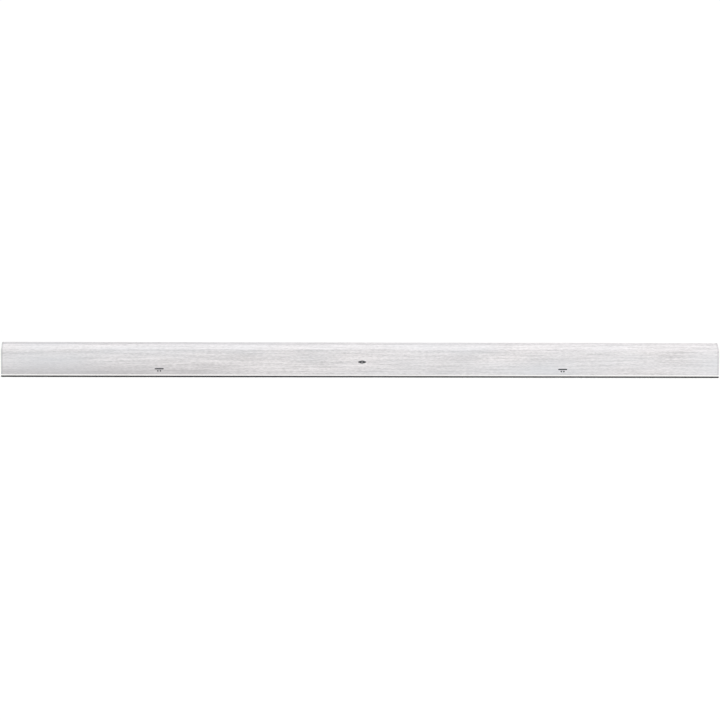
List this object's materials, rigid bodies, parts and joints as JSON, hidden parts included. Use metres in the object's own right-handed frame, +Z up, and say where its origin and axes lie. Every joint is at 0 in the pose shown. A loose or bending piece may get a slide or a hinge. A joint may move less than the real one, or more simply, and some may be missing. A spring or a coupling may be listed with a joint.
{
  "type": "bull float",
  "caption": "Long channel-section aluminium blade for smoothing wet concrete, with a tilting pole socket on its back, stiffened by a hand knob.",
  "frame": {"origin": "middle of the heel's flat underside, on which the blade stands; the working face is upright, as in the picture", "axes": "+X along the blade, +Y out of its back, away from the working face, +Z up from the heel to the lip"},
  "size_m": [3.048, 0.1756, 0.148],
  "materials": {
    "blade_aluminium": "mill-finish extrusion, fine drawing lines along its length",
    "cast_aluminium": "sand-cast, shot-blasted, faces machined",
    "plated_steel": "bright zinc plate",
    "nut_nylon": "blue nylon",
    "bush_nylon": "natural nylon",
    "pin_steel": "ground, unplated",
    "spring_steel": "dark phosphate",
    "insert_brass": "turned",
    "knob_plastic": "black moulded nylon, fine texture"
  },
  "bodies": {
    "blade": {"float_blade": "blade_aluminium", "bracket_base": "cast_aluminium", "track_bolt_left_lower": "plated_steel", "track_bolt_left_upper": "plated_steel", "track_bolt_right_lower": "plated_steel", "track_bolt_right_upper": "plated_steel", "track_washer_left_lower": "plated_steel", "track_washer_left_upper": "plated_steel", "track_washer_right_lower": "plated_steel", "track_washer_right_upper": "plated_steel", "track_nut_left_lower": "plated_steel", "track_nut_left_upper": "plated_steel", "track_nut_right_lower": "plated_steel", "track_nut_right_upper": "plated_steel", "track_nut_ring_left_lower": "nut_nylon", "track_nut_ring_left_upper": "nut_nylon", "track_nut_ring_right_lower": "nut_nylon", "track_nut_ring_right_upper": "nut_nylon", "pivot_bolt": "plated_steel", "stop_pin": "pin_steel"},
    "socket": {"pole_socket": "cast_aluminium", "pivot_bush_left": "bush_nylon", "pivot_bush_right": "bush_nylon"},
    "spring_stack": {"thrust_washer": "plated_steel", "disc_spring_inner": "spring_steel", "disc_spring_outer": "spring_steel"},
    "knob": {"tension_knob": "knob_plastic", "knob_insert": "insert_brass"}
  },
  "joints": [
    {"name": "pole_tilt", "type": "hinge", "parent": "blade", "child": "socket", "pos_m": [0, 0.03164, 0.0585], "axis": [1, 0, 0], "range_deg": [0, 80]},
    {"name": "knob_travel", "type": "slide", "parent": "blade", "child": "spring_stack", "axis": [1, 0, 0], "range_m": [0, 0.0035]},
    {"name": "knob_turn", "type": "hinge", "parent": "spring_stack", "child": "knob", "pos_m": [0.0451, 0.03164, 0.0585], "axis": [1, 0, 0], "range_deg": [0, 720]}
  ],
  "couplings": [
    {"joint": "knob_turn", "follows": "knob_travel", "rad_per_m": 3590.4}
  ]
}
